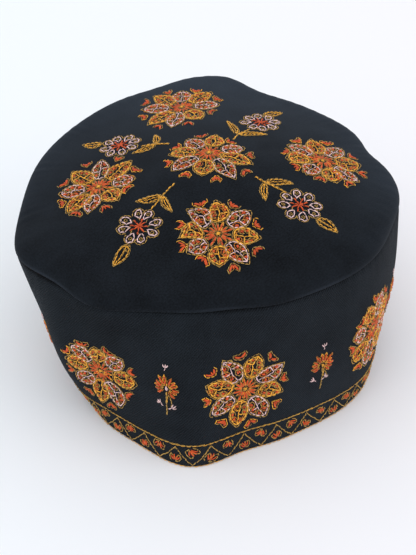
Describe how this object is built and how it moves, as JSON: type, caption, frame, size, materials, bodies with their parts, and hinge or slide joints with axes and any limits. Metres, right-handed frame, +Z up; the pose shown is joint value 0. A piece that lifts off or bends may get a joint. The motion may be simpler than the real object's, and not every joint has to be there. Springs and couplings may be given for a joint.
{
  "type": "embroidered cap",
  "caption": "Tall round cap of black cotton twill with a gently domed crown, floral thread embroidery and a patterned border along the rim.",
  "frame": {"origin": "middle of the cap's plan bounding box, on the surface that the rim rests on", "axes": "+Z up from the rim to the crown, front of the cap towards -Y, wearer's left towards +X"},
  "size_m": [0.1848, 0.195, 0.1099],
  "materials": {
    "crown_twill": "black cotton twill with gold, olive, lilac and orange-red embroidery",
    "wall_twill": "black cotton twill with visible diagonal ribs, embroidered, border along the rim"
  },
  "bodies": {
    "root": {"crown_panel": "crown_twill", "side_wall": "wall_twill"}
  },
  "joints": []
}
